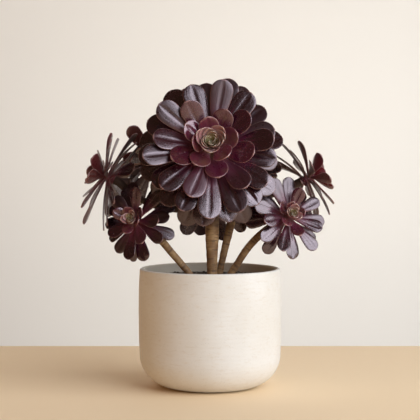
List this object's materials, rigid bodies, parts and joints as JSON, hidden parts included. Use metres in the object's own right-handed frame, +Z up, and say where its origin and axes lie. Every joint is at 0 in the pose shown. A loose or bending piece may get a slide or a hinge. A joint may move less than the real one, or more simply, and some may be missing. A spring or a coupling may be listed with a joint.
{
  "type": "potted succulent",
  "caption": "Potted black tree aeonium: glossy purple-black rosettes with green hearts on bare woody stems, in gritty soil in a cream speckled stoneware pot with a rounded foot.",
  "frame": {"origin": "centre of the pot's flat underside, which stands on the table", "axes": "+Z up along the pot's axis; -Y towards the viewer, the way the big rosette faces; +X to the viewer's right"},
  "size_m": [0.251, 0.1427, 0.3002],
  "materials": {
    "glaze": "matte",
    "soil": "matte",
    "bark": "matte",
    "dark_leaf": "satin",
    "young_leaf": "satin"
  },
  "bodies": {
    "root": {"pot": "glaze", "soil": "soil", "stem_main": "bark", "stem_left": "bark", "stem_right": "bark", "stem_back": "bark", "rosette_main": "dark_leaf", "rosette_front_left": "dark_leaf", "rosette_front_right": "dark_leaf", "rosette_side_left": "dark_leaf", "rosette_side_right": "dark_leaf", "rosette_back": "dark_leaf", "rosette_back_left": "dark_leaf", "rosette_back_right": "dark_leaf", "heart_main": "young_leaf", "heart_front_left": "young_leaf", "heart_front_right": "young_leaf", "heart_side_left": "young_leaf", "heart_side_right": "young_leaf", "heart_back": "young_leaf", "heart_back_left": "young_leaf", "heart_back_right": "young_leaf"}
  },
  "joints": []
}
